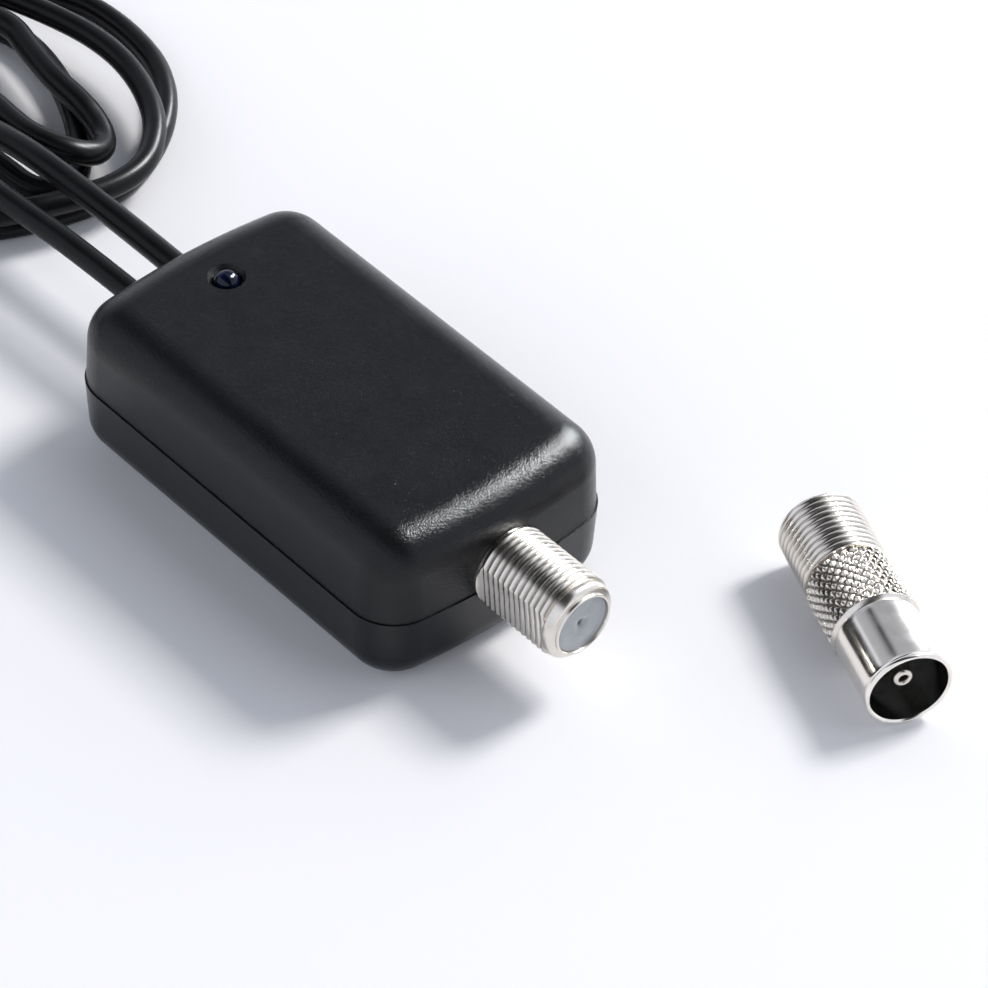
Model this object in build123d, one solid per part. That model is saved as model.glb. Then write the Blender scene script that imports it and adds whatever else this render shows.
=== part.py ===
"""Aerial signal amplifier: a small plastic case with an F socket at one end, a coax lead and a
power lead at the other, both tied in one hank, and a loose F to coaxial plug adapter beside it.

Frame: millimetres, origin on the surface under the middle of the case, +X towards the F socket,
+Z up. Everything lies on the plane z = 0.
"""
import math
import os

import numpy as np
from build123d import *

# Case: sizes of the moulding at its widest, where the two covers meet
case_length = 51.9
case_width = 31.8
case_height = 19.0
end_bow = 1.45
corner_radius = 5.5
seam_height = 9.0
top_edge_radius = 4.7
base_edge_radius = 3.8
wall = 1.8
wall_draft = 3.0
seam_step = 0.15
rim_width = 0.75
rim_depth = 1.6
lip_clearance = 0.1

# Circuit board and the posts that hold it between the covers
board_thickness = 1.2
board_top = 6.5
board_setback = 3.4
board_width = 25.4
board_corner = 1.0
post_rear_inset = 10.0
post_front_inset = 8.7
post_y = 9.6
post_radius = 2.3
pin_radius = 1.0
pin_clearance = 0.1
pin_reach = 4.5
seat_clearance = 0.1

# Indicator lamp
lamp_inset = 8.9
lamp_radius = 1.5
lamp_flange_radius = 1.9
lamp_flange = 1.0
lamp_height = 4.3
lamp_proud = 0.55
lamp_clearance = 0.12
lamp_dish_radius = 2.1
lamp_dish_depth = 0.55
lamp_sleeve_wall = 1.0
lamp_leg = 0.5
lamp_leg_spacing = 2.54
# F socket
thread_radius = 4.75
socket_neck_radius = 4.5
socket_height = 10.4
socket_reach = 11.4
socket_nose = 1.7
socket_nose_radius = 4.45
socket_nose_taper = 1.0
socket_mouth_radius = 3.6
socket_bore_radius = 3.12
socket_flat = 4.3
socket_flange = 2.0
socket_flange_width = 11.6
socket_flange_rise = 4.8
socket_flange_edge = 0.6
socket_block_width = 8.4
socket_block_length = 5.4
socket_hole_clearance = 0.1
insulator_recess = 0.45
contact_radius = 0.9
contact_bore_radius = 0.45
contact_entry_radius = 0.65
contact_tail = 1.6

# Leads
coax_radius = 1.4
power_radius = 1.5
lead_height = 10.0
lead_spacing = 6.4
lead_hole_clearance = 0.12
saddle_thickness = 1.0
collar_length = 2.5
collar_radius = 2.75
jacket_inside = 1.2
core_radius = 0.75
wire_radius = 0.5
wire_spacing = 1.5
wire_bend = 1.6
wire_reach = 4.4
least_bend = 3.0

# Parts on the board, each (length, width, height) with its place (x, y) from the board's middle
chip_lift = 0.1
chip_edge = 0.2
leg_width = 0.4
leg_reach = 0.9
leg_thickness = 0.45
amplifier_chip_size = (5.0, 4.0, 1.6)
amplifier_chip_place = (6.9, 0.0)
amplifier_chip_legs = 4
regulator_chip_size = (3.0, 2.6, 1.4)
regulator_chip_place = (-6.6, -3.5)
regulator_chip_legs = 3
can_radius = 2.4
can_height = 5.4
can_foot = 5.0
can_foot_thickness = 0.8
can_edge = 0.4
can_place = (-5.6, 5.0)
inductor_place = (-0.1, -7.5)
inductor_flange_radius = 2.2
inductor_flange = 0.7
winding_radius = 1.8
winding_length = 2.0
capacitor_size = (1.25, 2.0, 0.9)
capacitor_places = [(0.4 + 3.0 * i, 5.5) for i in range(5)]
resistor_size = (0.8, 1.6, 0.5)
resistor_places = [(4.9 + 2.2 * i, -6.5) for i in range(4)]

# Hank: both leads lie in loops between a near end by the case and a far end, tied at the waist
layer_gap = 0.53
floor_clearance = 0.05
waist_x = -110.0
waist_lift = 1.0
far_x = -130.0
start_x = -98.0
coax_low_lane = -4.4
coax_high_lane = 11.4
power_low_lane = 2.9
power_mid_lane = -0.85
power_high_lane = 7.0
coax_far = (-13.2, 17.6)
power_far = (-6.4, 10.9)

# Near end of each loop: where it bends in, where it turns round, and its two sides
coax_turns = (((-84.0, 24.0), -72.5, 26.5, -13.5), ((-84.0, 29.6), -74.5, 30.5, -13.7))
power_turns = (((-80.0, 19.6), -64.1, 16.0, -0.6), ((-79.0, 18.4), -61.6, 16.8, 9.0))

# Ends of the leads across the floor, and how far the tail runs before it leaves its loop
coax_end_place = (-103.0, -21.6)
coax_tail_straight = 4.0
power_end_x = -128.0
plug_clearance = 0.15
tie_width = 4.0
tie_thickness = 0.8
tie_clearance = 0.15
tie_corner = 1.6
tie_tail = 7.0

# F plug on the coax lead
nut_across_flats = 11.0
nut_length = 11.0
nut_back = 1.75
nut_bore_radius = 4.8
nut_edge = 0.5
neck_radius = 3.3
neck_clearance = 0.05
neck_flange_radius = 4.4
neck_flange = 1.2
nut_end_play = 0.15
grip_length = 20.0
grip_radius = 4.6
grip_shoulder = 2.4
grip_edge = 0.6
flute_count = 12
flute_radius = 0.35
flute_margin = 1.2
boot_length = 9.0
boot_rear_radius = 2.1
boot_front_radius = 3.0
boot_ribs = 3
boot_groove = 0.45
boot_groove_width = 1.0
plug_pin_radius = 0.5
plug_pin_proud = 1.0
plug_disc = 0.6
plug_disc_radius = 2.4

# Power plug
shell_width = 12.0
shell_height = 4.5
shell_wall = 0.35
shell_length = 12.0
shell_window = 2.2
shell_window_x = 5.0
moulding_width = 15.6
moulding_height = 8.0
moulding_length = 20.0
moulding_radius = 1.8
moulding_boot_width = 8.4
finger_ribs = 5
finger_rib_x = 6.0
finger_rib_pitch = 2.0
finger_rib_width = 0.8
finger_rib_depth = 0.4
finger_rib_height = 6.0
tongue_width = 11.2
tongue_thickness = 1.85
tongue_setback = 0.4
contact_strip = 1.0
contact_strip_thickness = 0.12
contact_strip_margin = 1.0
contact_pitches = (-3.5, -1.0, 1.0, 3.5)

# Adapter
adapter_place = (39.25, 32.9)
adapter_turn = -22.6
adapter_thread_radius = 4.72
adapter_thread = 8.8
adapter_thread_edge = 0.4
adapter_bore_radius = 3.12
adapter_bore = 10.8
collar_knurl_radius = 4.95
collar_knurl_length = 8.1
collar_chamfer = 0.45
sleeve_radius = 4.72
sleeve_wall = 0.5
sleeve_length = 9.1
sleeve_lip = 0.16
sleeve_lip_length = 0.9
sleeve_floor = 0.8
adapter_pin_radius = 1.18
adapter_pin_recess = 1.7
adapter_pin_edge = 0.53
adapter_pin_bore = 0.42
adapter_pin_bore_depth = 3.0
spacer_radius = 1.3
spacer_disc = 1.2
spacer_disc_clearance = 0.3

layer_coax = 2 * coax_radius + layer_gap
layer_power = 2 * power_radius + layer_gap
low_coax = coax_radius + floor_clearance
low_power = power_radius + floor_clearance
end_wall_x = case_length / 2 + end_bow
socket_end_x = end_wall_x + socket_reach
board_under = board_top - board_thickness
coax_y = -lead_spacing / 2
power_y = lead_spacing / 2


def outline(inset):
    """The case seen from above at the seam: long sides straight, both ends bowed outwards."""
    x = case_length / 2 - inset
    y = case_width / 2 - inset
    bow_x = end_wall_x - inset
    edges = [
        Edge.make_line((-x, -y), (x, -y)),
        Edge.make_three_point_arc((x, -y), (bow_x, 0), (x, y)),
        Edge.make_line((x, y), (-x, y)),
        Edge.make_three_point_arc((-x, y), (-bow_x, 0), (-x, -y)),
    ]
    face = Face(Wire(edges))
    return face.fillet_2d(corner_radius - inset, face.vertices())


def half_form(inset, height, edge_radius, up):
    """One half of the case as a solid block, drafted away from the seam and rounded at its end."""
    plane = Plane.XY if up else Plane.XY.rotated((180, 0, 0))
    block = extrude(plane * Sketch(outline(inset).wrapped), amount=height, taper=wall_draft)
    end = block.faces().sort_by(Axis.Z)[-1 if up else 0]
    block = fillet(end.edges(), edge_radius)
    return Pos(0, 0, seam_height) * block


def inner_end(y, z):
    """How far from the middle the end wall's inner face lies: it is bowed and leans inwards."""
    bowed = end_bow * (2 * y / case_width) ** 2
    lean = math.tan(math.radians(wall_draft)) * abs(z - seam_height)
    return end_wall_x - seam_step - wall - bowed - lean


# Places along X that follow from the end walls
flange_top = socket_height + socket_flange_rise
flange_x = inner_end(socket_flange_width / 2, flange_top) - seat_clearance
board_front = flange_x - socket_flange - seat_clearance
block_rear = board_front - socket_block_length
collar_x = seat_clearance - inner_end(lead_spacing / 2 + collar_radius, lead_height + collar_radius)
saddle_x = collar_x + collar_length + seat_clearance
lead_start = collar_x + collar_length + jacket_inside
board_rear = collar_x + board_setback
board_x = (board_rear + board_front) / 2
post_rear_x = board_rear + post_rear_inset
post_front_x = board_front - post_front_inset
lamp_x = lamp_inset - end_wall_x


def prism(inset, bottom, top):
    """A straight block with the case's outline."""
    return Pos(0, 0, bottom) * extrude(Sketch(outline(inset).wrapped), amount=top - bottom)


def along_x(radius, x0, x1, y=0.0, z=0.0):
    """A cylinder from x0 to x1."""
    return Pos((x0 + x1) / 2, y, z) * Rot(0, 90, 0) * Cylinder(radius, abs(x1 - x0))


def upright(radius, x, y, bottom, top):
    """A cylinder that stands on z = bottom."""
    return Pos(x, y, (bottom + top) / 2) * Cylinder(radius, top - bottom)


def block(x0, x1, y0, y1, z0, z1):
    """A box between two corners."""
    return Pos((x0 + x1) / 2, (y0 + y1) / 2, (z0 + z1) / 2) * Box(x1 - x0, y1 - y0, z1 - z0)


def turned(profile):
    """A body of revolution about the X axis, from (x, radius) points."""
    points = [(x, radius, 0) for x, radius in profile]
    face = Face(Wire.make_polygon(points, close=True))
    return revolve(Sketch(face.wrapped), axis=Axis.X)


def flatted_barrel(radius, x0, x1, flat):
    """A cylinder with the flat that keeps the socket from turning."""
    barrel = along_x(radius, x0, x1)
    cut = block(x0 - 1, x1 + 1, -2 * radius, -flat, -2 * radius, 2 * radius)
    return Pos(0, 0, socket_height) * (barrel - cut)


def post_places():
    """Where the four posts stand."""
    return [(x, y) for x in (post_rear_x, post_front_x) for y in (-post_y, post_y)]


def lead_holes():
    """The two round holes that the leads leave through, half in each cover."""
    inside = collar_x + collar_length + wall
    coax = along_x(coax_radius + lead_hole_clearance, -end_wall_x - 2, inside, coax_y, lead_height)
    power = along_x(power_radius + lead_hole_clearance, -end_wall_x - 2, inside, power_y, lead_height)
    return coax + power


def socket_hole():
    """The opening in the end wall that the socket's neck passes through."""
    grown = socket_hole_clearance
    return flatted_barrel(socket_neck_radius + grown, flange_x - 1, end_wall_x + 1, socket_flat + grown)


def top_cover():
    """Upper moulding: soft-edged lid with the lamp's hole and sleeve and four tubular bosses."""
    height = case_height - seam_height
    cover = half_form(seam_step, height, top_edge_radius, True)
    cover -= half_form(seam_step + wall, height - wall, top_edge_radius - wall, True)
    cover -= prism(seam_step + rim_width, seam_height - 1, seam_height + rim_depth)
    ceiling = case_height - wall
    for x, y in post_places():
        boss = upright(post_radius, x, y, board_top + seat_clearance, ceiling + wall / 2)
        bore = upright(pin_radius + pin_clearance, x, y, board_top - 1, board_top + pin_reach + 1)
        cover += boss - bore
        cover -= bore
    seat = case_height + lamp_proud - lamp_height
    sleeve_outside = lamp_radius + lamp_clearance + lamp_sleeve_wall
    cover += upright(sleeve_outside, lamp_x, 0, seat, ceiling + wall / 2)
    cover -= upright(lamp_radius + lamp_clearance, lamp_x, 0, seat - 1, case_height + 1)
    dish = Cone(lamp_radius + lamp_clearance, lamp_dish_radius, lamp_dish_depth)
    cover -= Pos(lamp_x, 0, case_height - lamp_dish_depth / 2) * dish
    return cover - lead_holes() - socket_hole()


def bottom_cover():
    """Lower moulding: tray with the seam's lip, four posts with pins and the leads' saddle."""
    cover = half_form(0, seam_height, base_edge_radius, False)
    cover -= half_form(wall, seam_height - wall, base_edge_radius - wall, False)
    lip_outside = seam_step + rim_width + lip_clearance
    lip_top = seam_height + rim_depth - lip_clearance
    lip = prism(lip_outside, seam_height - rim_depth, lip_top)
    lip -= prism(wall + seam_step, seam_height - rim_depth - 1, lip_top + 1)
    cover += lip
    floor = wall / 2
    for x, y in post_places():
        cover += upright(post_radius, x, y, floor, board_under)
        cover += upright(pin_radius, x, y, floor, board_top + pin_reach)
    half = lead_spacing / 2 + collar_radius
    cover += block(saddle_x, saddle_x + saddle_thickness, -half, half, floor, lead_height)
    return cover - lead_holes() - socket_hole()


def circuit_board():
    """Board with holes for the four pins."""
    face = Pos(board_x, 0) * Rectangle(board_front - board_rear, board_width)
    face = fillet(face.vertices(), board_corner)
    half = lead_spacing / 2 + collar_radius + seat_clearance
    notch_x = saddle_x + saddle_thickness + seat_clearance
    board = Pos(0, 0, board_under) * extrude(face, amount=board_thickness)
    board -= block(board_rear - 1, notch_x, -half, half, board_under - 1, board_top + 1)
    for x, y in post_places():
        board -= upright(pin_radius + pin_clearance, x, y, board_under - 1, board_top + 1)
    return board


def lamp_lens():
    """Round indicator lamp with a domed top and a flange that seats under the sleeve."""
    seat = case_height + lamp_proud - lamp_height - seat_clearance
    dome_base = case_height + lamp_proud - lamp_radius
    lens = upright(lamp_radius, lamp_x, 0, seat, dome_base)
    lens += Pos(lamp_x, 0, dome_base) * Sphere(lamp_radius)
    lens += upright(lamp_flange_radius, lamp_x, 0, seat - lamp_flange, seat)
    return lens


def lamp_legs():
    """Two square leads from the lamp down to the board."""
    top = case_height + lamp_proud - lamp_height - seat_clearance - lamp_flange
    half = lamp_leg / 2
    legs = []
    for y in (-lamp_leg_spacing / 2, lamp_leg_spacing / 2):
        legs.append(block(lamp_x - half, lamp_x + half, y - half, y + half, board_top, top))
    return legs


def f_socket_body():
    """Threaded barrel with one flat, a smooth nose, a neck in the wall, a flange and a block behind."""
    nose_x = socket_end_x - socket_nose
    thread_x = end_wall_x + seat_clearance
    body = flatted_barrel(thread_radius, thread_x, nose_x, socket_flat)
    body += flatted_barrel(socket_neck_radius, flange_x - socket_flange, thread_x, socket_flat)
    nose = turned([
        (nose_x, 0),
        (nose_x, socket_nose_radius),
        (socket_end_x - socket_nose_taper, socket_nose_radius),
        (socket_end_x, socket_mouth_radius),
        (socket_end_x, 0),
    ])
    body += Pos(0, 0, socket_height) * nose
    half = socket_flange_width / 2
    flange = block(flange_x - socket_flange, flange_x, -half, half, board_top, flange_top)
    body += chamfer(flange.edges().filter_by(Axis.X), socket_flange_edge)
    half = socket_block_width / 2
    body += block(block_rear, flange_x - socket_flange, -half, half, board_top, socket_height + half)
    return body - along_x(socket_bore_radius, block_rear - 1, socket_end_x + 1, 0, socket_height)


def f_socket_insulator():
    """Plug of plastic in the barrel, set back a little from its face."""
    front = socket_end_x - insulator_recess
    body = along_x(socket_bore_radius, block_rear, front, 0, socket_height)
    body -= along_x(contact_radius, block_rear - 1, front - contact_radius, 0, socket_height)
    return body - along_x(contact_entry_radius, block_rear, front + 1, 0, socket_height)


def f_socket_contact():
    """Tubular centre contact with a tail bent down to the board."""
    tail_x = block_rear - contact_tail
    front = socket_end_x - insulator_recess - contact_radius
    contact = along_x(contact_radius, block_rear, front, 0, socket_height)
    contact -= along_x(contact_bore_radius, block_rear + contact_tail, front + 1, 0, socket_height)
    contact += along_x(contact_bore_radius, tail_x, block_rear, 0, socket_height)
    return contact + upright(contact_bore_radius, tail_x, 0, board_top, socket_height)


def on_board(place, size, lift=0.0):
    """A block on the board, its middle at a place (x, y) from the board's middle."""
    (x, y), (length, width, height) = place, size
    x += board_x
    low, high = board_top + lift, board_top + height
    return block(x - length / 2, x + length / 2, y - width / 2, y + width / 2, low, high)


def legged_chip(place, size, legs):
    """A small moulded package with flat legs along both long sides."""
    length, width, height = size
    chip = on_board(place, size, chip_lift)
    chip = chamfer(chip.faces().sort_by(Axis.Z)[-1].edges(), chip_edge)
    for i in range(legs):
        at = place[0] - length / 2 + length / legs * (i + 0.5)
        chip += on_board((at, place[1]), (leg_width, width + 2 * leg_reach, leg_thickness))
    return chip


def can_capacitor():
    """Round electrolytic can on a square foot."""
    foot = on_board(can_place, (can_foot, can_foot, can_foot_thickness))
    x, y = can_place
    can = upright(can_radius, board_x + x, y, board_top + can_foot_thickness, board_top + can_height)
    return foot + fillet(can.edges().sort_by(Axis.Z)[-1], can_edge)


def wound_inductor():
    """Bobbin with two flanges and a winding between them."""
    x, y = board_x + inductor_place[0], inductor_place[1]
    under = board_top + inductor_flange
    over = under + winding_length
    bobbin = upright(inductor_flange_radius, x, y, board_top, under)
    bobbin += upright(winding_radius, x, y, under, over)
    return bobbin + upright(inductor_flange_radius, x, y, over, over + inductor_flange)


def tube_on(edges, radius):
    """A round tube swept along tangent edges."""
    path = Wire(edges)
    section = Plane(origin=path @ 0, z_dir=path % 0) * Circle(radius)
    return sweep(section, path=path)


def lead_line(points, radius):
    """The middle line of a free stretch: straight runs and arcs as large as the runs allow."""
    radii = []
    for a, b, c in zip(points, points[1:], points[2:]):
        before = Vector(*b) - Vector(*a)
        after = Vector(*c) - Vector(*b)
        half_turn = math.radians(before.get_angle(after)) / 2
        radii.append(0.45 * min(before.length, after.length) / math.tan(half_turn))
    print("bend radii", [round(r, 1) for r in radii], "least allowed", least_bend * 2 * radius)
    return FilletPolyline(*points, radius=radii).edges()


def length_of(edges):
    return sum(edge.length for edge in edges)


def lead_stretch(edges, radius):
    """The tube along a free stretch, with its volume held against its section times its length."""
    tube = tube_on(edges, radius)
    share = tube.volume / (math.pi * radius**2 * length_of(edges))
    print("free stretch", round(length_of(edges), 1), "mm, volume over section times length", round(share, 4))
    return tube


def hank_edges(stations):
    """Edges through stations (x, y, z, direction along X): half turns, and S bends of two arcs."""
    edges = []
    for (x0, y0, z0, way0), (x1, y1, z1, way1) in zip(stations, stations[1:]):
        start, end = Vector(x0, y0, z0), Vector(x1, y1, z1)
        tangent = Vector(way0, 0, 0)
        if way0 != way1:
            edges.append(Edge.make_tangent_arc(start, tangent, end))
        elif y0 == y1 and z0 == z1:
            edges.append(Edge.make_line(start, end))
        else:
            middle = (start + end) * 0.5
            chord = (end - start).normalized()
            crossing = chord * (2 * chord.dot(tangent)) - tangent
            edges.append(Edge.make_tangent_arc(start, tangent, middle))
            edges.append(Edge.make_tangent_arc(middle, crossing, end))
    return edges


def points_on(edges, step=0.8):
    """Points along edges, with how far along each lies."""
    points, along, done = [], [], 0.0
    for edge in edges:
        count = max(2, int(edge.length / step))
        for i in range(count):
            share = i / count
            points.append(tuple(edge @ share))
            along.append(done + share * edge.length)
        done += edge.length
    return np.array(points), np.array(along)


def least_gap(first, second, thickness, apart=None):
    """The least clear gap between two tubes, or within one tube beyond a distance along it."""
    near = np.linalg.norm(first[0][:, None] - second[0][None], axis=2)
    if apart is not None:
        near[np.abs(first[1][:, None] - second[1][None]) < apart] = np.inf
    return round(float(near.min()) - thickness, 2)


def loop_pass(side_y, waist_z, far_y, far_z, way):
    """One leg of a loop between the waist and the far end, going out or coming back."""
    out = [(waist_x, side_y, waist_z, way), (far_x, far_y, far_z, way)]
    return out if way < 0 else out[::-1]


def coax_stations():
    """Two wide loops, the first on top of the second, and the tail that leads to the plug."""
    top, low = low_coax + layer_coax, low_coax
    stations = [(start_x, coax_low_lane, top + waist_lift, -1)]
    for (bend, turn_x, far_side, near_side), z in zip(coax_turns, (top, low)):
        stations += loop_pass(coax_low_lane, z + waist_lift, coax_far[0], z, -1)
        stations += loop_pass(coax_high_lane, z + waist_lift, coax_far[1], z, 1)
        stations += [(*bend, z, 1), (turn_x, far_side, z, 1), (turn_x, near_side, z, -1)]
    stations.append((turn_x - coax_tail_straight, near_side, low, -1))
    return stations + [(coax_end[0] + 2 * coax_radius, *coax_end[1:], -1), (*coax_end, -1)]


def power_stations():
    """Two narrow loops inside the wide ones, from the floor up, and the end on top of the hank."""
    low, top = low_power, low_power + layer_power
    near_lanes = (power_low_lane, power_mid_lane)
    stations = [(start_x, power_low_lane, low + waist_lift, -1)]
    for (bend, turn_x, far_side, near_side), lane, z in zip(power_turns, near_lanes, (low, top)):
        stations += loop_pass(lane, z + waist_lift, power_far[0], z, -1)
        stations += loop_pass(power_high_lane, z + waist_lift, power_far[1], z, 1)
        stations += [(*bend, z, 1), (turn_x, far_side, z, 1), (turn_x, near_side, z, -1)]
    stations.append((waist_x, power_low_lane, top + waist_lift, -1))
    return stations + [(power_end[0] + 2 * power_radius, *power_end[1:], -1), (*power_end, -1)]


# Ends of the leads, where their plugs begin
coax_end = (*coax_end_place, nut_across_flats / math.sqrt(3) + plug_clearance)
over_hank = low_power + layer_power + power_radius + moulding_height / 2 + plug_clearance
power_end = (power_end_x, power_low_lane, over_hank)

# Free stretches from inside the case over the near loops and down to the waist
coax_points = [
    (lead_start, coax_y, lead_height),
    (-38.0, coax_y, lead_height),
    (-52.0, -4.2, 9.8),
    (-66.0, -4.4, 9.1),
    (-80.0, -4.3, 7.0),
    (-90.0, coax_low_lane, low_coax + layer_coax + waist_lift),
    (start_x, coax_low_lane, low_coax + layer_coax + waist_lift),
]
power_points = [
    (lead_start, power_y, lead_height),
    (-36.0, power_y, lead_height),
    (-48.0, 2.9, 10.1),
    (-59.0, 2.75, 9.7),
    (-69.0, 2.85, 7.2),
    (-79.0, 2.95, 3.4),
    (-89.0, power_low_lane, low_power + waist_lift),
    (start_x, power_low_lane, low_power + waist_lift),
]


def hank_tie():
    """Flat plastic-coated tie round the waist, its ends pinched together on top."""
    low_y = coax_low_lane - coax_radius - tie_clearance
    high_y = coax_high_lane + coax_radius + tie_clearance
    low_z = floor_clearance + tie_thickness
    high_z = low_power + layer_power + waist_lift + power_radius + tie_clearance
    centre = ((low_y + high_y) / 2, (low_z + high_z) / 2)
    inner = RectangleRounded(high_y - low_y, high_z - low_z, tie_corner)
    grown = 2 * tie_thickness
    outer = RectangleRounded(high_y - low_y + grown, high_z - low_z + grown, tie_corner + tie_thickness)
    half = tie_width / 2
    across = Plane(origin=(waist_x - half, *centre), x_dir=(0, 1, 0), z_dir=(1, 0, 0))
    band = extrude(across * (outer - inner), amount=tie_width)
    low_y, high_y = centre[0] - tie_thickness, centre[0] + tie_thickness
    top = high_z + tie_thickness / 2
    tail = block(waist_x - half, waist_x + half, low_y, high_y, top, top + tie_tail)
    return band + fillet(tail.edges().filter_by(Axis.Y), tie_thickness)


def f_plug_grip():
    """Moulded grip with a ribbed boot, along +X from the lead's end."""
    profile = [(0, 0), (0, boot_rear_radius)]
    for i in range(1, boot_ribs + 1):
        share = i / (boot_ribs + 1)
        radius = boot_rear_radius + (boot_front_radius - boot_rear_radius) * share
        rear = boot_length * share - boot_groove_width / 2
        front = rear + boot_groove_width
        profile += [(rear, radius), (rear, radius - boot_groove)]
        profile += [(front, radius - boot_groove), (front, radius)]
    profile += [(boot_length, boot_front_radius), (boot_length + grip_shoulder, grip_radius)]
    profile += [(grip_length - grip_edge, grip_radius), (grip_length, grip_radius - grip_edge)]
    profile.append((grip_length, 0))
    grip = turned(profile)
    rear = boot_length + grip_shoulder + flute_margin
    front = grip_length - grip_edge - flute_margin
    for i in range(flute_count):
        grip -= Rot(360 * i / flute_count, 0, 0) * along_x(flute_radius, rear, front, 0, grip_radius)
    return grip


# Along the F plug: the nut's rear face, the neck's flange and the face the centre wire stands on
nut_rear = grip_length + nut_end_play
neck_flange_x = nut_rear + nut_back + nut_end_play
plug_face = neck_flange_x + neck_flange


def f_plug_body():
    """Metal neck that the coupling nut turns on, with the flange that keeps it on."""
    return turned([
        (grip_length, 0),
        (grip_length, neck_radius),
        (neck_flange_x, neck_radius),
        (neck_flange_x, neck_flange_radius),
        (plug_face, neck_flange_radius),
        (plug_face, 0),
    ])


def f_plug_nut():
    """Hexagon coupling nut with its bore open to the front."""
    across = Plane(origin=(nut_rear, 0, 0), x_dir=(0, 1, 0), z_dir=(1, 0, 0))
    hexagon = RegularPolygon(nut_across_flats / 2, 6, major_radius=False)
    nut = extrude(across * hexagon, amount=nut_length)
    corner = nut_across_flats / math.sqrt(3)
    front = nut_rear + nut_length
    nut &= turned([
        (nut_rear, 0),
        (nut_rear, corner - nut_edge),
        (nut_rear + nut_edge, corner),
        (front - nut_edge, corner),
        (front, corner - nut_edge),
        (front, 0),
    ])
    nut -= along_x(neck_radius + neck_clearance, nut_rear - 1, nut_rear + nut_back + 1)
    return nut - along_x(nut_bore_radius, nut_rear + nut_back, front + 1)


def f_plug_insulator():
    """Disc round the centre wire."""
    disc = along_x(plug_disc_radius, plug_face, plug_face + plug_disc)
    return disc - along_x(plug_pin_radius + neck_clearance, plug_face - 1, plug_face + plug_disc + 1)


def f_plug_pin():
    """Centre wire, a little longer than the nut, with a cut point."""
    pin = along_x(plug_pin_radius, plug_face, nut_rear + nut_length + plug_pin_proud)
    return chamfer(pin.edges().sort_by(Axis.X)[-1], plug_pin_radius * 0.4)


# Along the power plug: where the metal shell leaves the moulding
shell_x = boot_length + moulding_length


def power_plug_grip():
    """Flat rounded moulding with a tapered boot and finger ribs on both sides."""
    across = Plane(origin=(0, 0, 0), x_dir=(0, 1, 0), z_dir=(1, 0, 0))
    rear = across * Circle(boot_rear_radius)
    front = Pos(boot_length, 0, 0) * (across * Ellipse(moulding_boot_width / 2, boot_front_radius))
    boot = loft([rear, front])
    y, z = moulding_width / 2, moulding_height / 2
    moulding = block(boot_length, shell_x, -y, y, -z, z)
    moulding = fillet(moulding.edges().filter_by(Axis.X), moulding_radius)
    moulding = fillet(moulding.faces().sort_by(Axis.X)[0].edges(), moulding_radius)
    for i in range(finger_ribs):
        x = boot_length + finger_rib_x + finger_rib_pitch * i
        groove = block(x, x + finger_rib_width, -y, y, -finger_rib_height / 2, finger_rib_height / 2)
        inner = y - finger_rib_depth
        moulding -= groove - block(x - 1, x + finger_rib_width + 1, -inner, inner, -z, z)
    return boot + moulding


def power_plug_shell():
    """Folded metal shell, open to the front, with its four latch windows."""
    y, z = shell_width / 2, shell_height / 2
    shell = block(shell_x, shell_x + shell_length, -y, y, -z, z)
    shell = fillet(shell.edges().filter_by(Axis.X), shell_wall)
    y, z = y - shell_wall, z - shell_wall
    shell -= block(shell_x - 1, shell_x + shell_length + 1, -y, y, -z, z)
    half = shell_window / 2
    x = shell_x + shell_window_x
    for y in (-shell_width / 4, shell_width / 4):
        shell -= block(x, x + shell_window, y - half, y + half, -shell_height, shell_height)
    return shell


def power_plug_tongue():
    """Plastic tongue that fills the lower half of the shell."""
    under = shell_wall - shell_height / 2
    front = shell_x + shell_length - tongue_setback
    return block(shell_x, front, -tongue_width / 2, tongue_width / 2, under, under + tongue_thickness)


def power_plug_contacts():
    """Four flat contacts on top of the tongue."""
    under = shell_wall - shell_height / 2 + tongue_thickness
    rear = shell_x + contact_strip_margin
    front = shell_x + shell_length - tongue_setback - contact_strip_margin
    half = contact_strip / 2
    return [block(rear, front, y - half, y + half, under, under + contact_strip_thickness)
            for y in contact_pitches]


# Along the adapter: the collar's front face, the sleeve's end and the face of its floor
collar_end = adapter_thread + collar_knurl_length
sleeve_end = collar_end + sleeve_length
floor_x = collar_end + sleeve_floor


def adapter_body():
    """Threaded barrel and the round collar that is knurled on the real one."""
    body = turned([
        (0, 0),
        (0, adapter_thread_radius - adapter_thread_edge),
        (adapter_thread_edge, adapter_thread_radius),
        (adapter_thread, adapter_thread_radius),
        (adapter_thread, collar_knurl_radius - collar_chamfer / 2),
        (adapter_thread + collar_chamfer, collar_knurl_radius),
        (collar_end - 2 * collar_chamfer, collar_knurl_radius),
        (collar_end, collar_knurl_radius - collar_chamfer),
        (collar_end, 0),
    ])
    body -= along_x(adapter_bore_radius, -1, adapter_bore)
    return body - along_x(spacer_radius, adapter_bore - 1, collar_end + 1)


def adapter_sleeve():
    """Smooth outer contact of the plug end, with a rounded lip at its mouth."""
    inside = sleeve_radius - sleeve_wall
    return turned([
        (collar_end, spacer_radius),
        (collar_end, sleeve_radius),
        (sleeve_end - sleeve_lip_length, sleeve_radius),
        (sleeve_end - sleeve_lip_length + sleeve_lip, sleeve_radius + sleeve_lip),
        (sleeve_end - sleeve_lip, sleeve_radius + sleeve_lip),
        (sleeve_end, sleeve_radius),
        (sleeve_end, inside),
        (floor_x, inside),
        (floor_x, spacer_radius),
    ])


def adapter_socket_insulator():
    """Plastic in the threaded end, round the contact."""
    body = along_x(adapter_bore_radius, insulator_recess, adapter_bore)
    return body - along_x(contact_entry_radius, 0, adapter_bore + 1)


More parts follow.
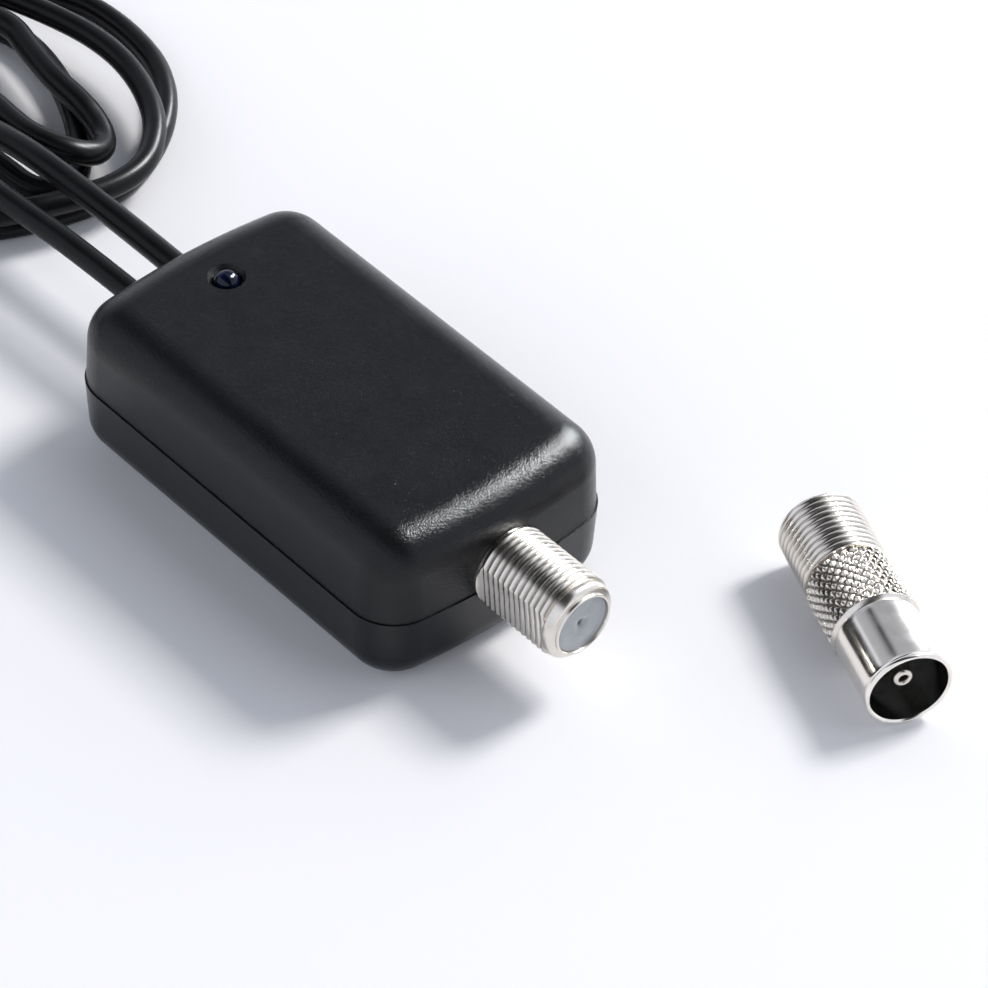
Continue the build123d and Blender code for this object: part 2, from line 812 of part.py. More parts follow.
def adapter_spacer():
    """Plastic tube that carries the pin through the collar, with a disc on the sleeve's floor."""
    body = along_x(spacer_radius, adapter_bore, floor_x)
    disc_radius = sleeve_radius - sleeve_wall - spacer_disc_clearance
    body += along_x(disc_radius, floor_x, floor_x + spacer_disc)
    return body - along_x(contact_bore_radius, adapter_bore - 1, floor_x + spacer_disc + 1)


def adapter_pin():
    """Hollow centre pin, with the wire that joins it to the contact in the threaded end."""
    rear = floor_x + spacer_disc
    front = sleeve_end - adapter_pin_recess
    pin = along_x(adapter_pin_radius, rear, front)
    pin = fillet(pin.edges().sort_by(Axis.X)[-1], adapter_pin_edge)
    pin -= along_x(adapter_pin_bore, front - adapter_pin_bore_depth, front + 1)
    return pin + along_x(contact_bore_radius, adapter_thread, rear)


def lead_collar(y, radius):
    """Crimped ring on a lead, just inside the end wall, so that it can't be pulled out."""
    ring = along_x(collar_radius, collar_x, collar_x + collar_length, y, lead_height)
    return ring - along_x(radius, collar_x - 1, collar_x + collar_length + 1, y, lead_height)


def board_wire(y, radius):
    """A stripped wire from a lead's end, bent down to the board."""
    bend_x = lead_start + wire_reach
    points = [(lead_start, y, lead_height), (bend_x, y, lead_height), (bend_x, y, board_top)]
    return tube_on(FilletPolyline(*points, radius=wire_bend).edges(), radius)


def write(name, shapes):
    """Write one node's solids to its file."""
    solids = []
    for shape in shapes if isinstance(shapes, list) else [shapes]:
        solids += shape.solids()
    node = solids[0] if len(solids) == 1 else Compound(children=solids)
    export_step(node, f"parts/{name}.step")


def main():
    os.makedirs("parts", exist_ok=True)
    write("top_cover", top_cover())
    write("bottom_cover", bottom_cover())
    write("circuit_board", circuit_board())
    write("lamp_lens", lamp_lens())
    write("lamp_legs", lamp_legs())
    write("f_socket_body", f_socket_body())
    write("f_socket_insulator", f_socket_insulator())
    write("f_socket_contact", f_socket_contact())
    write("amplifier_chip", legged_chip(amplifier_chip_place, amplifier_chip_size, amplifier_chip_legs))
    write("regulator_chip", legged_chip(regulator_chip_place, regulator_chip_size, regulator_chip_legs))
    write("can_capacitor", can_capacitor())
    write("inductor", wound_inductor())
    write("chip_capacitors", [on_board(place, capacitor_size) for place in capacitor_places])
    write("chip_resistors", [on_board(place, resistor_size) for place in resistor_places])
    write("coax_core", board_wire(coax_y, core_radius))
    half = wire_spacing / 2
    write("power_wires", [board_wire(power_y + side * half, wire_radius) for side in (-1, 1)])
    write("coax_collar", lead_collar(coax_y, coax_radius))
    write("power_collar", lead_collar(power_y, power_radius))

    lines = []
    for name, radius, points, stations in (
        ("coax", coax_radius, coax_points, coax_stations()),
        ("power", power_radius, power_points, power_stations()),
    ):
        free, wound = lead_line(points, radius), hank_edges(stations)
        write(f"{name}_lead", lead_stretch(free, radius))
        write(f"{name}_hank", tube_on(wound, radius))
        line = points_on(free + wound)
        print(name, "lead in all", round(length_of(free + wound)), "mm, of it wound", round(length_of(wound)),
              "mm, least gap to itself", least_gap(line, line, 2 * radius, 10 * radius))
        lines.append(line)
    print("least gap between the leads", least_gap(*lines, coax_radius + power_radius))
    write("hank_tie", hank_tie())

    plug = Pos(*coax_end) * Rot(0, 0, 180)
    write("f_plug_grip", plug * f_plug_grip())
    write("f_plug_body", plug * f_plug_body())
    write("f_plug_nut", plug * f_plug_nut())
    write("f_plug_insulator", plug * f_plug_insulator())
    write("f_plug_pin", plug * f_plug_pin())

    plug = Pos(*power_end) * Rot(0, 0, 180)
    write("power_plug_grip", plug * power_plug_grip())
    write("power_plug_shell", plug * power_plug_shell())
    write("power_plug_tongue", plug * power_plug_tongue())
    write("power_plug_contacts", [plug * strip for strip in power_plug_contacts()])

    adapter = Pos(*adapter_place, collar_knurl_radius) * Rot(0, 0, adapter_turn)
    write("adapter_body", adapter * adapter_body())
    write("adapter_sleeve", adapter * adapter_sleeve())
    write("adapter_socket_insulator", adapter * adapter_socket_insulator())
    write("adapter_spacer", adapter * adapter_spacer())
    write("adapter_pin", adapter * adapter_pin())


main()
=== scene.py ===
"""Aerial signal amplifier with two leads in a tied hank, and a loose F to coaxial plug adapter."""
from math import cos, inf, pi, radians, sin, sqrt

import bpy
from mathutils import Matrix, Vector


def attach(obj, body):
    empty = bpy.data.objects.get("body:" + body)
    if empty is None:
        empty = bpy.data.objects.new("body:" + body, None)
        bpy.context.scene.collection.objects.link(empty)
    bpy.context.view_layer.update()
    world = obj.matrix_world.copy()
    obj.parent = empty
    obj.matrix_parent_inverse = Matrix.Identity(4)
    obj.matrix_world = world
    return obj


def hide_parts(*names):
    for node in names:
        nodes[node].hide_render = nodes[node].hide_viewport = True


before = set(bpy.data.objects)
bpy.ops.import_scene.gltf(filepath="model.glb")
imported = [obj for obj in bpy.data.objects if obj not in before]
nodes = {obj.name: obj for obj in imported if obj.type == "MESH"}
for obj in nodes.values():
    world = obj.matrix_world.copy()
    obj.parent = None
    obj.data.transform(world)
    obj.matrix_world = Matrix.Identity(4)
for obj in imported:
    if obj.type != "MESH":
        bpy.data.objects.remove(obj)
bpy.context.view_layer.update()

scene = bpy.context.scene
MM = 0.001

# ---------------------------------------------------------------- camera, at the photograph's view
YAW, PITCH, ROLL = radians(47.35), radians(43.35), radians(1.97)
DISTANCE, SHIFT_RIGHT, SHIFT_UP = 518.08, 16.68, 0.44
FOCAL_PX, FRAME_PX, SENSOR_MM = 4843.58, 988, 36


def make_camera():
    right = Vector((cos(YAW), sin(YAW), 0))
    up = Vector((-sin(YAW) * sin(PITCH), cos(YAW) * sin(PITCH), cos(PITCH)))
    ahead = Vector((-sin(YAW) * cos(PITCH), cos(YAW) * cos(PITCH), -sin(PITCH)))
    rolled_right = cos(ROLL) * right + sin(ROLL) * up
    rolled_up = cos(ROLL) * up - sin(ROLL) * right
    place = (rolled_right * SHIFT_RIGHT + rolled_up * SHIFT_UP - ahead * DISTANCE) * MM
    turn = Matrix((rolled_right, rolled_up, -ahead)).transposed()
    data = bpy.data.cameras.new("camera")
    data.sensor_width = SENSOR_MM
    data.lens = SENSOR_MM * FOCAL_PX / FRAME_PX
    data.clip_start, data.clip_end = 0.01, 20
    camera = bpy.data.objects.new("camera", data)
    camera.matrix_world = Matrix.Translation(place) @ turn.to_4x4()
    scene.collection.objects.link(camera)
    scene.camera = camera


make_camera()


# ---------------------------------------------------------------- node trees
class Tree:
    """A node tree, with short calls to add and join nodes."""

    def __init__(self, tree):
        self.tree = tree

    def add(self, kind, **sets):
        """A new node. Each value goes to the input of that name, or else to the node's own setting."""
        node = self.tree.nodes.new(kind)
        for key, value in sets.items():
            if key in node.inputs:
                node.inputs[key].default_value = value
            else:
                setattr(node, key, value)
        return node

    def join(self, a, b):
        self.tree.links.new(a, b)

    def map_range(self, value, start, end, low, high, **sets):
        """Maps start..end to low..high."""
        ends = {"From Min": start, "From Max": end, "To Min": low, "To Max": high}
        node = self.add("ShaderNodeMapRange", **sets, **ends)
        self.join(value, node.inputs["Value"])
        return node.outputs["Result"]


NOISE_LOW, NOISE_HIGH = 0.3, 0.7      # nearly all of a noise's values lie between these


class Material(Tree):
    """A material on the principled shader. Noise scales are in cells per metre."""

    def __init__(self, name):
        self.made = bpy.data.materials.new(name)
        self.made.use_nodes = True
        super().__init__(self.made.node_tree)
        self.shader = self.tree.nodes["Principled BSDF"]

    def coordinates(self):
        return self.add("ShaderNodeTexCoord").outputs["Object"]

    def noise(self, at, scale, detail, roughness=0.5):
        node = self.add("ShaderNodeTexNoise", Scale=scale, Detail=detail, Roughness=roughness)
        self.join(at, node.inputs["Vector"])
        return node.outputs["Fac"]

    def ramp(self, fac, low, high, start=NOISE_LOW, end=NOISE_HIGH):
        """From one colour to another as a value goes from start to end."""
        node = self.add("ShaderNodeValToRGB")
        for element, place, colour in zip(node.color_ramp.elements, (start, end), (low, high)):
            element.position = place
            element.color = (*colour, 1)
        self.join(fac, node.inputs["Fac"])
        return node.outputs["Color"]

    def bump(self, height, depth_mm, after=None):
        node = self.add("ShaderNodeBump", Distance=depth_mm * MM, Strength=1.0)
        self.join(height, node.inputs["Height"])
        if after is not None:
            self.join(after, node.inputs["Normal"])
        return node.outputs["Normal"]

    def drive(self, name, output):
        """Joins an output to the shader's input of that name."""
        self.join(output, self.shader.inputs[name])

    def gloss(self, noise, low, high):
        """Roughness that runs between two values with a noise."""
        self.drive("Roughness", self.map_range(noise, NOISE_LOW, NOISE_HIGH, low, high))

    def set(self, **values):
        """Plain values for the shader's inputs, with _ for a space in a name."""
        for key, value in values.items():
            self.shader.inputs[key.replace("_", " ")].default_value = value


# ---------------------------------------------------------------- materials
def grained_plastic(name, dark, light, roughness, grain_mm, depth_mm, specular=0.5):
    """Moulded plastic with a fine spark-eroded grain and faint clouds of colour and gloss."""
    m = Material(name)
    at = m.coordinates()
    clouds = m.noise(at, scale=300, detail=3, roughness=0.55)
    m.drive("Base Color", m.ramp(clouds, dark, light))
    m.gloss(clouds, roughness - 0.03, roughness + 0.03)
    grain = m.noise(at, scale=1 / (grain_mm * MM), detail=1.5, roughness=0.6)
    m.drive("Normal", m.bump(grain, depth_mm))
    m.set(Specular_IOR_Level=specular)
    return m.made


SCRATCH_MM, SCRATCH_DEPTH_MM = 0.05, 0.0008
# painted shade: a groove's floor multiplies the base colour by the first colour, a crest by the second
PAINTED_GROOVE_SHADE, CREST_COLOUR = (0.32, 0.31, 0.295), (1, 1, 1)


def metal(name, dark, light, roughness, painted_groove_shade=False):
    """Plated metal with faint stains, uneven gloss and very fine scratches. With groove shading on, the
    base colour is darker in a piece's grooves, as painted shade.
    """
    m = Material(name)
    at = m.coordinates()
    stains = m.noise(at, scale=420, detail=4, roughness=0.6)
    colour = m.ramp(stains, dark, light, 0.32, 0.68)
    # painted shade in the grooves, set by the piece's height attribute
    if painted_groove_shade:
        height = m.add("ShaderNodeAttribute", attribute_name="height").outputs["Fac"]
        shade = m.add("ShaderNodeMix", data_type="RGBA", blend_type="MULTIPLY")
        shade.inputs["Factor"].default_value = 1.0
        m.join(colour, shade.inputs["A"])
        m.join(m.ramp(height, PAINTED_GROOVE_SHADE, CREST_COLOUR, 0.0, 0.75), shade.inputs["B"])
        colour = shade.outputs["Result"]
    m.drive("Base Color", colour)
    m.gloss(stains, roughness - 0.05, roughness + 0.05)
    m.set(Metallic=1.0)
    scratches = m.noise(at, scale=1 / (SCRATCH_MM * MM), detail=3, roughness=0.6)
    m.drive("Normal", m.bump(scratches, SCRATCH_DEPTH_MM))
    return m.made


def tinted_lens(name):
    """Dark blue tinted lamp lens, glossy, with lighter clouds in its depth."""
    m = Material(name)
    at = m.coordinates()
    clouds = m.noise(at, scale=900, detail=1)
    m.drive("Base Color", m.ramp(clouds, (0.001, 0.002, 0.01), (0.003, 0.007, 0.034), start=0.35))
    m.set(Roughness=0.06, Specular_IOR_Level=0.3)
    m.drive("Normal", m.bump(m.noise(at, scale=2500, detail=1), 0.002))
    return m.made


def frosted(name, dark, light, roughness):
    """Milky moulded plastic that lets a little light through."""
    m = Material(name)
    at = m.coordinates()
    clouds = m.noise(at, scale=700, detail=3, roughness=0.55)
    m.drive("Base Color", m.ramp(clouds, dark, light))
    m.gloss(clouds, roughness - 0.05, roughness + 0.05)
    m.set(Subsurface_Weight=0.25, Subsurface_Radius=(1, 1, 1), Subsurface_Scale=0.8 * MM)
    m.drive("Normal", m.bump(m.noise(at, scale=6000, detail=2), 0.004))
    return m.made


def jacket(name):
    """Satin PVC lead jacket: fine speckle and shallow waves left by the extruder."""
    m = Material(name)
    at = m.coordinates()
    clouds = m.noise(at, scale=260, detail=3)
    m.drive("Base Color", m.ramp(clouds, (0.0035, 0.0037, 0.0043), (0.0052, 0.0055, 0.0062)))
    m.gloss(clouds, 0.27, 0.35)
    m.set(Specular_IOR_Level=0.18)
    waves = m.bump(m.noise(at, scale=900, detail=2), 0.012)
    speckle = m.noise(at, scale=9000, detail=2, roughness=0.6)
    m.drive("Normal", m.bump(speckle, 0.004, after=waves))
    return m.made


def laminate(name):
    """Green board with darker tracks under the varnish."""
    m = Material(name)
    at = m.coordinates()
    cells = m.add("ShaderNodeTexVoronoi", Scale=650, feature="DISTANCE_TO_EDGE")
    m.join(at, cells.inputs["Vector"])
    edge = cells.outputs["Distance"]
    m.drive("Base Color", m.ramp(edge, (0.012, 0.075, 0.03), (0.025, 0.14, 0.055), 0.02, 0.12))
    m.gloss(m.noise(at, scale=500, detail=2), 0.3, 0.42)
    m.drive("Normal", m.bump(edge, 0.02))
    return m.made


case_black = grained_plastic("case_black", (0.0036, 0.0039, 0.0046), (0.005, 0.0054, 0.0062), 0.21,
                             grain_mm=0.17, depth_mm=0.058, specular=0.28)
grip_black = grained_plastic("grip_black", (0.0065, 0.0068, 0.0075), (0.0095, 0.0098, 0.0108), 0.42,
                             grain_mm=0.3, depth_mm=0.012)
tie_black = grained_plastic("tie_black", (0.01, 0.01, 0.0105), (0.016, 0.016, 0.0165), 0.36,
                            grain_mm=0.6, depth_mm=0.008)
chip_black = grained_plastic("chip_black", (0.02, 0.02, 0.02), (0.03, 0.03, 0.03), 0.6,
                             grain_mm=0.1, depth_mm=0.004)
ferrite = grained_plastic("ferrite", (0.05, 0.045, 0.04), (0.09, 0.08, 0.07), 0.7,
                          grain_mm=0.15, depth_mm=0.01)
ceramic = grained_plastic("ceramic", (0.4, 0.28, 0.18), (0.52, 0.38, 0.26), 0.5,
                          grain_mm=0.12, depth_mm=0.004)
nickel = metal("nickel", (0.64, 0.6, 0.545), (0.76, 0.72, 0.665), 0.2)
bright_nickel = metal("bright_nickel", (0.84, 0.8, 0.74), (0.93, 0.89, 0.83), 0.15)
dark_nickel = metal("dark_nickel", (0.16, 0.15, 0.135), (0.26, 0.247, 0.225), 0.22)
# nickel with painted shade in the grooves of its threads and knurl
nickel_painted_groove_shade = metal("nickel_painted_groove_shade", (0.68, 0.64, 0.58), (0.8, 0.76, 0.7), 0.22, painted_groove_shade=True)
tin = metal("tin", (0.6, 0.6, 0.6), (0.74, 0.74, 0.74), 0.32)
brass = metal("brass", (0.66, 0.47, 0.2), (0.8, 0.6, 0.3), 0.25)
copper = metal("copper", (0.7, 0.36, 0.22), (0.85, 0.5, 0.33), 0.3)
lens = tinted_lens("lens")
milky = frosted("milky", (0.33, 0.35, 0.365), (0.38, 0.4, 0.415), 0.22)
lead_black = jacket("lead_black")
green_board = laminate("green_board")

for look, names in (
    (case_black, ["top_cover", "bottom_cover"]),
    (grip_black, ["f_plug_grip", "power_plug_grip"]),
    (tie_black, ["hank_tie"]),
    (chip_black, ["amplifier_chip", "regulator_chip", "chip_resistors"]),
    (ferrite, ["inductor"]),
    (ceramic, ["chip_capacitors"]),
    (nickel, ["f_socket_body", "f_plug_body", "f_plug_nut", "adapter_body", "adapter_pin"]),
    (bright_nickel, ["power_plug_shell", "adapter_sleeve"]),
    (tin, ["lamp_legs", "can_capacitor", "coax_collar", "power_collar"]),
    (brass, ["f_socket_contact", "power_plug_contacts"]),
    (copper, ["coax_core", "power_wires", "f_plug_pin"]),
    (lens, ["lamp_lens"]),
    (milky, ["f_socket_insulator", "f_plug_insulator", "power_plug_tongue", "adapter_socket_insulator",
             "adapter_spacer"]),
    (lead_black, ["coax_lead", "coax_hank", "power_lead", "power_hank"]),
    (green_board, ["circuit_board"]),
):
    for name in names:
        nodes[name].data.materials.clear()
        nodes[name].data.materials.append(look)


# ---------------------------------------------------------------- mesh helpers
def mesh_piece(name, points, faces, look, body, replaced):
    """A smooth mesh object in the row frame, in metres, riding on a body."""
    data = bpy.data.meshes.new(name)
    data.from_pydata([tuple(p) for p in points], [], faces)
    data.validate()
    data.shade_smooth()
    data.materials.append(look)
    piece = bpy.data.objects.new(name, data)
    scene.collection.objects.link(piece)
    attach(piece, body)
    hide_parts(*replaced)
    return piece


def other_look(piece, look, count, first_row=0, last_row=inf):
    """Gives another look to the faces between two rows of `count` points, both rows included."""
    piece.data.materials.append(look)
    for face in piece.data.polygons:
        if min(face.vertices) >= first_row * count and max(face.vertices) < (last_row + 1) * count:
            face.material_index = 1


def ring_grid(rows, count):
    """Faces between rows of `count` points, each row closed round an axis. The two end rows stay open."""
    faces = []
    for row in range(rows - 1):
        a, b = row * count, (row + 1) * count
        for j in range(count):
            k = (j + 1) % count
            faces.append((a + j, a + k, b + k, b + j))
    return faces


def place_along(origin, turn):
    """Maps (along, across, up) in mm on a piece's own axis to the row frame in metres."""
    c, s = cos(turn), sin(turn)
    x0, y0, z0 = origin

    def put(x, y, z):
        return ((x0 + c * x - s * y) * MM, (y0 + s * x + c * y) * MM, (z0 + z) * MM)
    return put


# ---------------------------------------------------------------- leads, each one cord from case to plug
COAX_R, POWER_R = 1.4, 1.5
LAYER_GAP, FLOOR_GAP = 0.53, 0.05
LEAD_START, LEAD_Z = -21.25, 10.0

# the tie holds the hank at its waist, where the leads lie a little higher, each strand in its lane
WAIST_X, WAIST_LIFT, START_X = -110.0, 1.0, -98.0
COAX_LANE, COAX_BACK_LANE = -4.4, 11.4
POWER_LANE, POWER_BACK_LANE, POWER_TOP_LANE = 2.9, 7.0, -0.85

# far ends of the loops: x, and y of the strand out and of the strand back
COAX_FAR, POWER_FAR = (-130.0, -13.2, 17.6), (-131.2, -6.4, 10.9)

# heights of the two layers, and where the leads enter their plugs, which lie on the floor and on the hank
NUT_CORNER_R, GRIP_HALF, PLUG_GAP = 11.0 / sqrt(3), 4.0, 0.15
coax_low, coax_top = COAX_R + FLOOR_GAP, 3 * COAX_R + FLOOR_GAP + LAYER_GAP
power_low, power_top = POWER_R + FLOOR_GAP, 3 * POWER_R + FLOOR_GAP + LAYER_GAP
coax_end = (-103.0, -21.6, NUT_CORNER_R + PLUG_GAP)
power_end = (-128.0, POWER_LANE, power_top + POWER_R + GRIP_HALF + PLUG_GAP)

# the straight parts, from the case to the hank
COAX_STRAIGHT = [
    (LEAD_START, -3.2, LEAD_Z), (-38.0, -3.2, 10.2), (-52.0, -4.2, 10.1), (-66.0, -4.4, 9.4),
    (-80.0, -4.3, 7.2),
    (-90.0, COAX_LANE, coax_top + WAIST_LIFT), (START_X, COAX_LANE, coax_top + WAIST_LIFT),
]
POWER_STRAIGHT = [
    (LEAD_START, 3.2, LEAD_Z), (-36.0, 3.2, 10.3), (-48.0, 2.9, 10.5), (-59.0, 2.75, 10.1),
    (-69.0, 2.85, 7.5), (-79.0, 2.95, 3.4),
    (-89.0, POWER_LANE, power_low + WAIST_LIFT), (START_X, POWER_LANE, power_low + WAIST_LIFT),
]

# near ends of the loops, each point set one by one to the strands in the photograph
COAX_TOP_END = [
    (-92.7, 20.0), (-82.7, 23.7), (-73.4, 25.6), (-64.8, 24.5), (-56.4, 20.5), (-51.0, 13.5), (-53.2, 2.8),
    (-58.7, -8.5), (-68.3, -14.6),
]
COAX_LOW_END = [
    (-94.1, 24.2), (-85.8, 30.8), (-76.3, 31.7), (-66.9, 29.7), (-59.0, 23.5), (-53.5, 13.5), (-54.5, 3.9),
    (-60.0, -7.6), (-69.3, -15.1),
]
POWER_LOW_END = [
    (-91.6, 18.4), (-83.4, 21.2), (-74.6, 19.9), (-65.9, 16.1), (-61.6, 13.0), (-58.9, 10.5), (-58.3, 8.2),
    (-59.0, 6.1), (-60.8, 4.9), (-64.8, 4.8), (-69.3, 4.6), (-73.8, 3.0), (-77.8, 0.7), (-82.0, -0.6),
]
POWER_TOP_END = [
    (-90.7, 15.0, 5.5), (-83.0, 19.2, 5.1), (-76.9, 17.7, 5.1), (-71.0, 16.6, 5.1), (-65.7, 16.5, 4.9),
    (-61.9, 16.1, 4.1), (-59.2, 14.8, 3.9), (-57.5, 12.6, 4.8), (-57.1, 10.5, 5.9), (-58.4, 8.5, 6.8),
    (-61.0, 7.3, 7.0), (-64.8, 6.9, 6.8), (-72.3, 7.7, 6.4), (-83.8, 5.9, 6.1),
]


def far_turn(x, y0, y1, z):
    """Control points of the half turn at a loop's far end, on the polygon that its circle touches."""
    steps = 6
    centre, radius = (y0 + y1) / 2, abs(y1 - y0) / 2
    side = 1 if y0 > y1 else -1
    reach = radius / cos(pi / (2 * steps))
    points = []
    for i in range(steps):
        angle = pi * (i + 0.5) / steps
        points.append((x - reach * sin(angle), centre + side * reach * cos(angle), z))
    return points


def side_step(start, end):
    """Control points of an S bend between two points, both along X."""
    (x0, y0, z0), (x1, y1, z1) = start, end
    dx = x1 - x0
    reach = (dx * dx + (y1 - y0) ** 2 + (z1 - z0) ** 2) / (4 * dx)
    return [(x0 + reach, y0, z0), (x1 - reach, y1, z1)]


def wound_loop(lane, back_lane, far, leave_x, near_end, z):
    """One loop of the hank, from its waist to the far end, back through the waist and round its near end.

    A point of near_end keeps its own height where it has one.
    """
    far_x, out_y, back_y = far
    lift = z + WAIST_LIFT
    points = side_step((WAIST_X, lane, lift), (far_x, out_y, z)) + far_turn(far_x, out_y, back_y, z)
    points += side_step((far_x, back_y, z), (WAIST_X, back_lane, lift)) + [(leave_x, back_lane, lift)]
    return points + [(*place, z)[:3] for place in near_end]


def coax_route():
    """Along the straight part, round the upper loop, then the lower one, and to the F plug."""
    route = list(COAX_STRAIGHT)
    here = route[-1]
    for z, leave_x, near_end, after in ((coax_top, -102.0, COAX_TOP_END, (-72.5, -13.5)),
                                        (coax_low, -100.3, COAX_LOW_END, (-78.5, -13.7))):
        route += side_step(here, (WAIST_X, COAX_LANE, z + WAIST_LIFT))
        route += wound_loop(COAX_LANE, COAX_BACK_LANE, COAX_FAR, leave_x, near_end, z)
        here = (*after, z)
    x, y, z = coax_end
    return [*route, *side_step(here, (x + 2 * COAX_R, y, z)), coax_end]


def power_route():
    """Along the straight part, round the lower loop, then the upper one, and to the power plug."""
    route = list(POWER_STRAIGHT)
    route += side_step(route[-1], (WAIST_X, POWER_LANE, power_low + WAIST_LIFT))
    route += wound_loop(POWER_LANE, POWER_BACK_LANE, POWER_FAR, -101.2, POWER_LOW_END, power_low)
    lift = power_top + WAIST_LIFT
    route += [(-88.0, POWER_TOP_LANE, 2.2), (-98.4, POWER_TOP_LANE, lift), (-115.4, POWER_TOP_LANE, lift)]
    route += wound_loop(POWER_TOP_LANE, POWER_BACK_LANE, POWER_FAR, -101.2, POWER_TOP_END, power_top)[1:]
    x, y, z = power_end
    route.append((START_X, POWER_LANE, lift))
    return [*route, *side_step((WAIST_X, POWER_LANE, lift), (x + 2 * POWER_R, y, z)), power_end]


def lead(name, route, radius, replaced):
    """A lead as one smooth curve through its route's points."""
    data = bpy.data.curves.new(name, "CURVE")
    data.dimensions = "3D"
    spline = data.splines.new("NURBS")
    spline.points.add(len(route) - 1)
    for point, place in zip(spline.points, route):
        point.co = (*(v * MM for v in place), 1)
    spline.order_u = 3
    spline.use_endpoint_u = True
    spline.resolution_u = 10
    data.bevel_depth = radius * MM
    data.bevel_resolution = 7
    data.use_fill_caps = True
    data.materials.append(lead_black)
    piece = bpy.data.objects.new(name, data)
    scene.collection.objects.link(piece)
    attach(piece, "amplifier")
    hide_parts(*replaced)
    return piece


coax = lead("coax_cord", coax_route(), COAX_R, ["coax_lead", "coax_hank"])
power = lead("power_cord", power_route(), POWER_R, ["power_lead", "power_hank"])


# ---------------------------------------------------------------- threads, knurl and turned parts, in mm
PITCH_MM, THREAD_DEPTH = 25.4 / 32, 0.22
THREAD_STEP = PITCH_MM / 12
KNURL_DEPTH, KNURL_COUNT, KNURL_PITCH = 0.42, 28, 1.3
BORE_R = 3.12
SHARP_ANGLE = radians(40)
# height attribute in the valleys of a thread, and in those on a flat, which sets the painted shade there,
# lighter on the flat
THREAD_SHADE, FLAT_SHADE = 0.15, 0.55

SOCKET_Z, SOCKET_END, SOCKET_R, NECK_R = 10.4, 38.8, 4.75, 4.55
# which way the flat faces, its distance from the axis, and the cosine of how far round it may reach
FLAT_ANGLE, FLAT_R, FLAT_REACH = radians(184), 3.88, 0.3
socket_put = place_along((0, 0, SOCKET_Z), 0)

ADAPTER_Z, ADAPTER_TURN, ADAPTER_R = 4.95, radians(-22.6), 4.72
COLLAR_START, COLLAR_END, SLEEVE_END = 8.8, 16.8, 25.75
adapter_put = place_along((39.25, 32.9, ADAPTER_Z), ADAPTER_TURN)


def thread_height(turns):
    """0 in the valley and 1 on the rounded crest of the thread, for a place counted in turns."""
    share = 0.5 - 0.5 * cos(2 * pi * turns)
    return share ** 0.6


def knurl_height(angle, along):
    """Height of the pillows left by two crossing sets of grooves, 0 to 1."""
    around = KNURL_COUNT * angle / (2 * pi)
    ahead = along / KNURL_PITCH
    a = abs(2 * ((around + ahead) % 1.0) - 1)
    b = abs(2 * ((around - ahead) % 1.0) - 1)
    return 1 - (1 - min(a, b)) ** 1.6


def stretch(a, b, step):
    """Stations from a to b, both included, about a step apart."""
    count = max(1, round(abs(b - a) / step))
    return [a + (b - a) * i / count for i in range(count + 1)]


def plain(*pairs):
    """Stations of a smooth profile from pairs (along, radius)."""
    return [(x, r, "plain") for x, r in pairs]


def arc(x, r, radius, start, end, steps):
    """Stations round a small fillet of a profile, angles in degrees from +X."""
    out = []
    for i in range(steps + 1):
        a = radians(start + (end - start) * i / steps)
        out.append((x + radius * cos(a), r + radius * sin(a), "plain"))
    return out


def turned_piece(name, stations, put, count, look, body, replaced, flat=None):
    """Turned part from stations (along, radius, kind). flat(along) is the distance of a flat from the axis.

    The flat cuts every kind but round. A profile that ends where it starts closes
    on itself. The height attribute is 1 on a crest and less in a groove, and a metal with groove shading
    darkens its colour by it, as painted shade.
    """
    points, heights = [], []
    for along, radius, kind in stations:
        for j in range(count):
            angle = 2 * pi * j / count
            facing = cos(angle - FLAT_ANGLE)
            cut = flat(along) / facing if flat and kind != "round" and facing > FLAT_REACH else inf
            r, height = min(radius, cut), 1.0
            if kind == "thread":
                height = thread_height(along / PITCH_MM - angle / (2 * pi))
                r -= THREAD_DEPTH * (1 - height)
                # painted shade in a valley, lighter on the flat
                valley = FLAT_SHADE if cut < radius else THREAD_SHADE
                height = valley + (1 - valley) * height
            elif kind == "knurl":
                height = knurl_height(angle, along)
                r -= KNURL_DEPTH * (1 - height)
            heights.append(height)
            points.append(put(along, r * cos(angle), r * sin(angle)))
    faces = ring_grid(len(stations), count)
    if stations[0] == stations[-1]:
        last = len(points) - count
        faces = [tuple(v % last for v in face) for face in faces]
        points, heights = points[:last], heights[:last]
    piece = mesh_piece(name, points, faces, look, body, replaced)
    piece.data.attributes.new("height", "FLOAT", "POINT").data.foreach_set("value", heights)
    piece.data.set_sharp_from_angle(angle=SHARP_ANGLE)
    return piece


